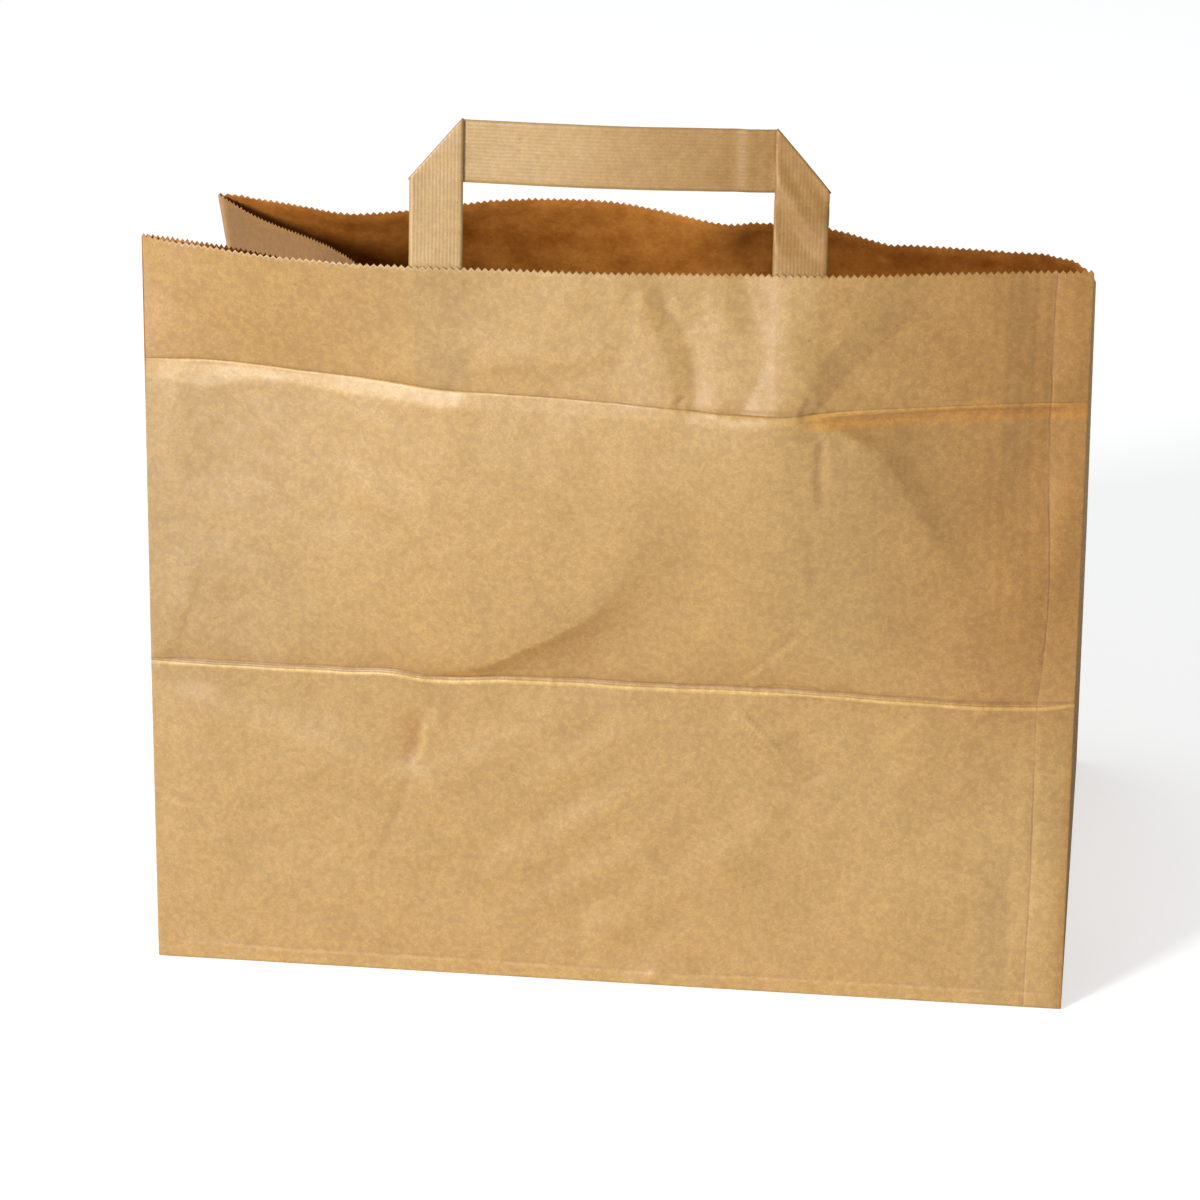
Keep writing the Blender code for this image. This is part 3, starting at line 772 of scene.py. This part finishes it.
def kraft(name, light, dark, painted_shade, fibre=1.0, ribs=0.0, mottle=1.0, sheen=0.3):
    """Kraft paper: fibres, flecks, mottling and a fine grain in the sheet's own flat coordinates, under the painted
    shade, highlights, glow and lines of add_tones.
    """
    m = Nodes(bpy.data.materials.new(name))
    flat = m.put("ShaderNodeUVMap", uv_map="flat").outputs["UV"]
    patch = m.noise(flat, 120.0, 3.0, 0.6, shift=1.3)
    layers = ((m.noise(flat, 34.0, 3.0, 0.55), 0.9 * mottle), (patch, 0.7 * mottle),
              (m.noise(flat, 1500.0, 1.0, 0.6, shift=2.1), 0.3))
    body = 0.5
    for level, amount in layers:
        body = m.math("MULTIPLY_ADD", m.math("SUBTRACT", level, 0.5), amount, body)
    colour = m.mix(body, dark, light)
    colour = add_fibres(m, flat, colour, fibre)
    colour = add_flecks(m, flat, colour, darker(dark, 0.28))
    height = m.times(m.noise(flat, 480.0, 3.0, 0.65, shift=6.0), 1.3)
    if ribs:
        wave = m.put("ShaderNodeTexWave", wave_type="BANDS", bands_direction="X")
        m.feed(wave, {"Vector": flat, "Scale": ribs, "Distortion": 1.4, "Detail": 1.5, "Detail Scale": 0.4})
        height = m.math("MULTIPLY_ADD", wave.outputs["Fac"], 0.7, height)
        colour = m.mix(m.times(wave.outputs["Fac"], 0.2), colour, darker(dark, 0.72))
    # Painted shade mask: it tints the colour with the paper's shade colour and takes away some of its sheen
    painted_shade_mask = m.read("painted_shade")
    colour = add_tones(m, flat, colour, painted_shade_mask, painted_shade)
    bump = m.feed(m.put("ShaderNodeBump"), {"Strength": 0.3, "Distance": 0.00016, "Height": height})
    gloss = m.times(m.math("SUBTRACT", 1.0, m.times(painted_shade_mask, 0.4)), sheen)
    m.feed(m.shader, {"Base Color": colour, "Roughness": m.ramp(patch, 0.3, 0.7, 0.5, 0.58),
                      "Specular IOR Level": gloss, "IOR": GLAZED_IOR if sheen > 0.9 else PLAIN_IOR,
                      "Normal": bump.outputs["Normal"]})
    return m.owner


# Each paper's third colour is the tint of its painted shade
outside = kraft("kraft_outside", srgb(198, 154, 79), srgb(178, 134, 59), (0.78, 0.62, 0.36, 1.0), sheen=1.0)
# The inner face has its own darker, redder kraft colour, which is in part painted shade for the bag's inside
inside = kraft("kraft_inside", srgb(208, 136, 58), srgb(150, 82, 18), (0.62, 0.5, 0.42, 1.0), 0.8, mottle=1.8)
rim = kraft("kraft_rim", srgb(238, 204, 156), srgb(214, 172, 118), (0.95, 0.85, 0.7, 1.0), 0.3)
strap_paper = kraft("kraft_strap", srgb(198, 156, 84), srgb(176, 134, 62), (0.75, 0.62, 0.4, 1.0), 0.8,
                    ribs=260.0, sheen=1.0)
strap_rim = kraft("kraft_strap_rim", srgb(196, 158, 108), srgb(168, 128, 80), (0.9, 0.8, 0.66, 1.0), 0.3)


def most(*values):
    """The largest of several tones at each place."""
    return np.maximum.reduce(np.broadcast_arrays(*values))


def painted_shade_tone(x, v, below, over):
    """Painted shade where the front turns from the light, and painted shade in its folds and dents."""
    d, place = along_line(x, v, FACET)
    far, along = along_line(x, v, ARC)
    arc_ends = step(0.02, 0.12, along) * step(0.8, 0.35, along)
    return most(0.5 * step(-0.5, 2, d) * step(1.0, 0.7, place) * step(0, 2, below) * step(66, 80, x),
                (0.3 * step(66, 76, x) + 0.55 * step(76, 150, x)) * step(2, -1, below),
                (0.25 + 0.6 * step(84, 150, x)) * step(80, 96, x) * step(60, 150, v),
                0.7 * step(0.4, -0.4, far) * fading(-far, 11) * arc_ends * step(0.2, 0.9, over),
                0.3 * step(-50, -120, x) * step(2, -1, below),
                0.42 * fading(over, 5) * step(0.2, 0.9, over),
                0.25 * step(40, 66, x) * fading(-over, 9) * step(0.2, -0.8, over),
                0.6 * step(155.5, 159, x),
                ridge(x, v, DENT, 0.5, 0.4, 3.4, 0.35),
                0.22 * step(-0.2, 1.0, -below) * fading(-below, 7))


def grey_tone(x, v, below):
    """Greyer over the glue, at the left, and over the strap's left leg."""
    leg = step(-63.4, -62.6, x) * step(-44.4, -45.4, x) * step(217.2, 218.8, v)
    corner = bell(np.hypot((x + 47) / 1.4, v - 226), 5.5)
    return most(0.55 * step(132.4, 133.4, x) * step(142.8, 141.8, x) * step(150, 215, v),
                0.22 * step(142.8, 143.4, x) * step(148, 147.4, x) * step(200, 216, v),
                0.4 * step(129, 131, x) * step(141, 139.5, x) * step(62, 50, v),
                0.5 * step(-60, -145, x) * step(70, 130, v) * step(3, 9, below),
                leg * (0.42 + 0.45 * corner))


def pale_tone(x, v, below, over, under_band):
    """Painted highlight on the band under the upper crease, along the lower crease and on the pinch; paler along
    the foot, on the thin pale lines and on the scratch.
    """
    band = step(-0.3, 0.3, below) * step(0.5, -0.5, under_band)
    return most(band * (0.12 * step(60, 20, x) + 0.3 * step(-50, -75, x)),
                0.85 * step(0.55, 0.15, over) * step(-1.7, -1.1, over),
                0.2 * step(0.5, -0.5, v - 5.4),
                ridge(x, v, ((45.5, 104), (59, 90), (61, 88)), 0.55, 0.5),
                ridge(x, v, ((43.5, 102.5), (57.2, 88.6)), 0.45, 0.45),
                ridge(x, v, SCRATCH, 0.7, 0.4),
                0.4 * bell(x - 65.6, 1.5) * bell(below - 0.5, 2.0))


def front_tone(p, v):
    """Painted shade, greyer and paler tones and painted glow of the front, and the distances that its thin painted
    shadow and highlight lines are drawn from.
    """
    x, v = (p - WIDTH / 2) / MM, v / MM
    below = curve(UPPER_CREASE, x) - v
    over = v - curve(LOWER_CREASE, x)
    under_band = below - curve(BAND_TALL, x)
    line = np.min([np.abs(along_line(x, v, points)[0]) for points in PALE_LINES], axis=0)
    return {"painted_shade": painted_shade_tone(x, v, below, over), "grey": grey_tone(x, v, below),
            "pale": pale_tone(x, v, below, over, under_band),
            # Painted glow in the band under the upper crease, right of the pinch
            "painted_glow": 0.9 * step(-0.1, 0.5, below) * step(1.0, -0.4, under_band) * step(64, 72, x),
            "from_seam": x - curve(SEAM, v), "from_low": over, "from_high": -below,
            "from_line": np.minimum(line, FAR_OFF)}


def other_tone(p, v):
    """Painted shade in the left gusset's hollow: darker, greyer and with more of the painted valley shade; painted
    light on the back's right half.
    """
    place = (ROUND_TRIP - p) / DEPTH
    hollow_shade = step(0.1, 0.2, place) * step(1.0, 0.97, place) * step(0.12, 0.2, v) * step(1.02, 0.98, place)
    x = (BACK_MIDDLE - p) / MM
    # Painted light: the back's right half is made paler from about 150 mm up
    lit = 0.75 * step(-50, -15, x) * step(160, 150, np.abs(x)) * step(0.15, 0.19, v)
    return {"painted_shade": hollow_shade, "grey": hollow_shade, "pale": lit, "hollow_valley_shade": 0.8 * hollow_shade}


# Columns, rows and teeth of the meshes of the sheet
SIDE_PITCH = DEPTH / TEETH_DEEP
LAST_ROW = HEIGHT - TOOTH
BACK_START, BACK_END = WIDTH + DEPTH, 2 * WIDTH + DEPTH
front_teeth = [-SIDE_PITCH] + split(0, WIDTH, TEETH_WIDE) + [WIDTH + SIDE_PITCH]
front_columns = with_folds([-SIDE_PITCH] + split(0, WIDTH, 2 * TEETH_WIDE) + [WIDTH + SIDE_PITCH], [0.0, WIDTH])
rest_teeth = split(WIDTH, BACK_START, TEETH_DEEP)[1:]
rest_teeth += split(BACK_START, BACK_END, TEETH_WIDE)[1:]
rest_teeth += split(BACK_END, ROUND_TRIP, TEETH_DEEP)[1:-1]
rest_columns = with_folds(rest_teeth, [BACK_START, BACK_END, WIDTH + DEPTH / 2, ROUND_TRIP - DEPTH / 2])
FOOT_ROWS = [-0.003, -0.0009, -0.0006, -0.0003, 0.0, 0.0003, 0.0006, 0.0009]
low_rows = FOOT_ROWS + spread((0.0015, 0.0042, 0.0009), (0.0042, 0.0066, 0.0005),
                              (0.0066, 0.107, 0.00118), (0.107, LOW_ROW, 0.0004))
middle_rows = spread((LOW_ROW, LOW_ROW + 0.003, 0.0004), (LOW_ROW + 0.003, 0.207, 0.00125),
                     (0.207, HIGH_ROW, 0.0006))
high_rows = spread((HIGH_ROW, HIGH_ROW + 0.004, 0.0005), (HIGH_ROW + 0.004, LAST_ROW, 0.0011))
rest_rows = FOOT_ROWS + spread((0.002, 0.107, 0.0044), (0.107, 0.113, 0.0012), (0.113, LAST_ROW, 0.0044))


def on_front(p, v):
    return front_relief((p - WIDTH / 2) / MM, v / MM) * ((p > 0) & (p < WIDTH))


def on_rest(p, v):
    return other_relief(p / MM, v / MM)


def base_piece():
    """The flat base: rings of the foot's own vertices."""
    ring = np.concatenate([front_columns[front_columns >= 0], rest_columns])
    ring = np.array(sorted(set(np.round(ring, 6))))
    ring = ring[(ring >= 0) & (ring < ROUND_TRIP)][::3]
    outer = sheet_point(ring, np.full(ring.shape, FOOT_ROWS[0]))
    levels = [1.0, 0.8, 0.55, 0.3, 0.1]
    coords = np.vstack([outer * np.array([level, level, 1.0]) for level in levels] + [np.zeros((1, 3))])
    n, middle = len(ring), len(coords) - 1
    sides = [(k * n + j, k * n + (j + 1) % n) for k in range(len(levels)) for j in range(n)]
    faces = [[b, a, middle] if a + n >= middle else [b, a, a + n, b + n] for a, b in sides]
    return paper_mesh("base_panel", coords, coords[:, :2] + 0.5, faces, {})


sheet = [sheet_piece("front_low", front_columns, low_rows, on_front, front_tone),
         sheet_piece("front_middle", front_columns, middle_rows, on_front, front_tone),
         sheet_piece("front_collar", front_columns, high_rows, on_front, front_tone, front_teeth),
         sheet_piece("sides_and_back", rest_columns, rest_rows, on_rest, other_tone, rest_teeth),
         base_piece()]

# Strap handle, metres
LEG_WIDTH = 0.0177
GRIP_WIDTH = 0.0205
STRAP = 0.0006
FOLD_GAP = 0.0003
GLUE_GAP = 0.0003
LEFT_LEG = -0.0548
RIGHT_LEG = 0.0645
LEG_FOOT = 0.045
RISE = 0.0482
TILT = 0.0017
HANDLE_LEAN = math.radians(8.0)
FLAT_FROM = 0.01
GRIP_FOOT = RISE - GRIP_WIDTH
LAYER = STRAP + FOLD_GAP
STRAP_CELLS, LEG_CELLS, TURN_CELLS, GRIP_CELLS = 14, 83, 8, 149


def strap_point(x, rise, layer):
    """Point of the strap from x, the rise over the rim and the depth behind the legs."""
    low = front_point(x + WIDTH / 2, HEIGHT + np.minimum(rise, 0.0))
    left, right = (front_point(np.array(leg + WIDTH / 2), np.array(HEIGHT)) for leg in (LEFT_LEG, RIGHT_LEG))
    place = (x - LEFT_LEG) / (RIGHT_LEG - LEFT_LEG)
    flat = left + (right - left) * place[..., None]
    flat[..., 2] -= TILT * place
    up = np.maximum(rise, 0.0)
    point = low + (flat - low) * np.clip(up / FLAT_FROM, 0, 1)[..., None]
    hidden = front_relief(x / MM, (HEIGHT + np.minimum(rise, 0.0)) / MM) * step(FLAT_FROM, 0.0, up)
    point[..., 1] += PAPER + GLUE_GAP + STRAP / 2 + layer + math.sin(HANDLE_LEAN) * up - hidden * MM
    point[..., 2] += math.cos(HANDLE_LEAN) * up
    return point


def strap_relief(x, rise, layer):
    """Wrinkles of the strap in metres towards the front."""
    x, rise = x / MM, rise / MM
    free = step(2, 8, rise)
    twisted = step(55, 57, x) * free
    r = 0.1 * waves(x, rise, 22, 41, 2)
    r += 0.95 * twisted * np.sin((x * 0.75 + rise * 0.62) * 0.42 + 0.6) * bell(rise - 20, 13)
    r += 0.22 * twisted * np.sin((x * 0.9 + rise * 0.5) * 0.95) * bell(rise - 24, 10)
    if layer > 0:
        r += (0.42 * bell(x - 47, 2.0) - 0.35 * bell(x - 42.5, 2.2) + 0.25 * bell(x - 52, 1.3)) * step(26, 30, rise)
        r -= 0.3 * bell(x - 30, 9)
    r += free * 3.2 * np.sin(math.pi * np.clip((x + 62) / 135, 0, 1)) ** 1.5 * step(4, 27, rise)
    return r * MM * step(-2, 2, rise)


def wrinkled_strap(x, rise, layer):
    points = strap_point(x, rise, layer)
    points[..., 1] -= strap_relief(x, rise, layer)
    return points


def leg_edge(side, centre):
    """The slanted fold at the top of a leg, from left to right."""
    t = np.linspace(0, 1, STRAP_CELLS + 1)
    x = centre + side * LEG_WIDTH * (0.5 - t)
    top = GRIP_FOOT + GRIP_WIDTH * t
    return (x[::-1], top[::-1]) if side > 0 else (x, top)


def leg_patch(x, top):
    """Points and flat places of a leg."""
    u = np.linspace(0, 1, LEG_CELLS + 1)[:, None]
    rise = -LEG_FOOT + (top + LEG_FOOT) * u
    X = np.broadcast_to(x, rise.shape)
    return wrinkled_strap(X, rise, 0.0), np.stack([X, rise], -1)


def turn_patch(x, top, side):
    """The half turn from a leg to the grip behind it."""
    angle = np.linspace(0, math.pi, TURN_CELLS + 1)[:, None]
    x, rise = (np.broadcast_to(row, (TURN_CELLS + 1, STRAP_CELLS + 1)) for row in (x, top))
    outward = np.array([side * GRIP_WIDTH, LEG_WIDTH]) / math.hypot(GRIP_WIDTH, LEG_WIDTH)
    share = angle / math.pi
    turn = strap_point(x, rise, 0.0)
    turn[..., 1] -= strap_relief(x, rise, 0.0) * (1 - share) + strap_relief(x, rise, LAYER) * share
    turn[..., 1] += LAYER / 2 * (1 - np.cos(angle))
    turn[..., 0] += outward[0] * LAYER / 2 * np.sin(angle)
    turn[..., 2] += outward[1] * LAYER / 2 * np.sin(angle)
    return turn, np.stack([x + angle * LAYER * side, rise + angle * LAYER], -1)


def grip_patch():
    """The grip, which faces the other way: it lies behind the legs."""
    t = np.linspace(0, 1, STRAP_CELLS + 1)[:, None]
    u = np.linspace(0, 1, GRIP_CELLS + 1)[None, :]
    left = LEFT_LEG + LEG_WIDTH * (t - 0.5)
    right = RIGHT_LEG - LEG_WIDTH * (t - 0.5)
    x = left + (right - left) * u
    rise = np.broadcast_to(GRIP_FOOT + GRIP_WIDTH * t, x.shape)
    return wrinkled_strap(x, rise, LAYER)[:, ::-1], np.stack([rise, x], -1)[:, ::-1]


def strap_mesh():
    """One folded strap: leg, slanted fold, grip behind, slanted fold, leg."""
    patches = []
    for side, centre in ((-1, LEFT_LEG), (1, RIGHT_LEG)):
        x, top = leg_edge(side, centre)
        patches += [leg_patch(x, top), turn_patch(x, top, side)]
    patches.append(grip_patch())
    faces, count = [], 0
    for points, _ in patches:
        more, index = grid_faces(*points.shape[:2], count)
        faces += more
        count += index.size
    coords = np.vstack([points.reshape(-1, 3) for points, _ in patches])
    flat = np.vstack([places.reshape(-1, 2) for _, places in patches])
    x = coords[:, 0]
    inner = np.minimum(x - LEFT_LEG - LEG_WIDTH / 2, RIGHT_LEG - LEG_WIDTH / 2 - x) / MM
    # Painted shade towards the grip's right, and a painted shadow line, with a faint pale one, on the grip beside
    # each leg's inner edge
    tones = {"painted_shade": 0.75 * step(-30.0, 62.0, x / MM), "from_seam": np.where(inner > 0, inner - 0.45, FAR_OFF)}
    thing = sheet_mesh("strap", coords, flat, faces, tones, [strap_paper, strap_rim])
    weld = thing.modifiers.new("Weld", "WELD")
    weld.merge_threshold = 0.00003
    thicken(thing, STRAP, 0.0).material_offset_rim = 1
    return thing


strap = strap_mesh()

for thing in sheet:
    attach(thing, "root")
    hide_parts("bag_body")
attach(strap, "root")
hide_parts("handle_strap")

# Studio: white floor, soft light from the upper left
FLOOR_GLOW = 0.548
FLOOR_HALF = 6.0
FLOOR_DROP = 0.0002
AMBIENT = 0.32
# Lamps: name, place, target, width in metres, watts
LAMPS = (("key", (-2.25, -3.08, 1.56), (0, 0, 0.13), 0.86, 124),
         ("top", (-0.6, -0.6, 2.6), (0, 0, 0.1), 1.4, 8))
CAMERA_PLACE = (0.17007, -1.38707, 0.6408)
CAMERA_AIM = (-0.016, 0.0, 0.101)
LENS, SENSOR = 122.39, 36.0


def add_object(name, data, place, target=None):
    """A new object of the scene, turned to look at a target if there is one."""
    thing = bpy.data.objects.new(name, data)
    thing.location = place
    if target:
        thing.rotation_euler = (Vector(target) - Vector(place)).to_track_quat("-Z", "Y").to_euler()
    bpy.context.scene.collection.objects.link(thing)
    return thing


corners = [(x * FLOOR_HALF, y * FLOOR_HALF, 0) for x, y in ((-1, -1), (1, -1), (1, 1), (-1, 1))]
floor_mesh = bpy.data.meshes.new("floor")
floor_mesh.from_pydata(corners, [], [(0, 1, 2, 3)])
paint = Nodes(bpy.data.materials.new("floor_white"))
camera_ray = paint.put("ShaderNodeLightPath").outputs["Is Camera Ray"]
paint.feed(paint.shader, {"Base Color": (0.9, 0.9, 0.9, 1.0), "Roughness": 0.9, "Specular IOR Level": 0.0,
                          "Emission Color": (0.98, 0.99, 1.0, 1.0),
                          "Emission Strength": paint.times(camera_ray, FLOOR_GLOW)})
floor_mesh.materials.append(paint.owner)
floor = add_object("floor", floor_mesh, (0, 0, -FLOOR_DROP))

sky = Nodes(bpy.data.worlds.new("studio"), "Background")
camera_ray = sky.put("ShaderNodeLightPath").outputs["Is Camera Ray"]
sky.feed(sky.shader, {"Color": (1.0, 1.0, 1.0, 1.0), "Strength": sky.ramp(camera_ray, 0.0, 1.0, AMBIENT, 1.0)})
bpy.context.scene.world = sky.owner

for name, place, target, width, watts in LAMPS:
    lamp = bpy.data.lights.new(name, "AREA")
    lamp.shape = "DISK"
    lamp.size = width
    lamp.energy = watts
    add_object(name, lamp, place, target)

# Camera at the photograph's viewing angle
camera_data = bpy.data.cameras.new("camera")
camera_data.sensor_width = SENSOR
camera_data.lens = LENS
camera_data.clip_start = 0.01
bpy.context.scene.camera = add_object("camera", camera_data, CAMERA_PLACE, CAMERA_AIM)
bpy.context.scene.view_settings.view_transform = "Standard"
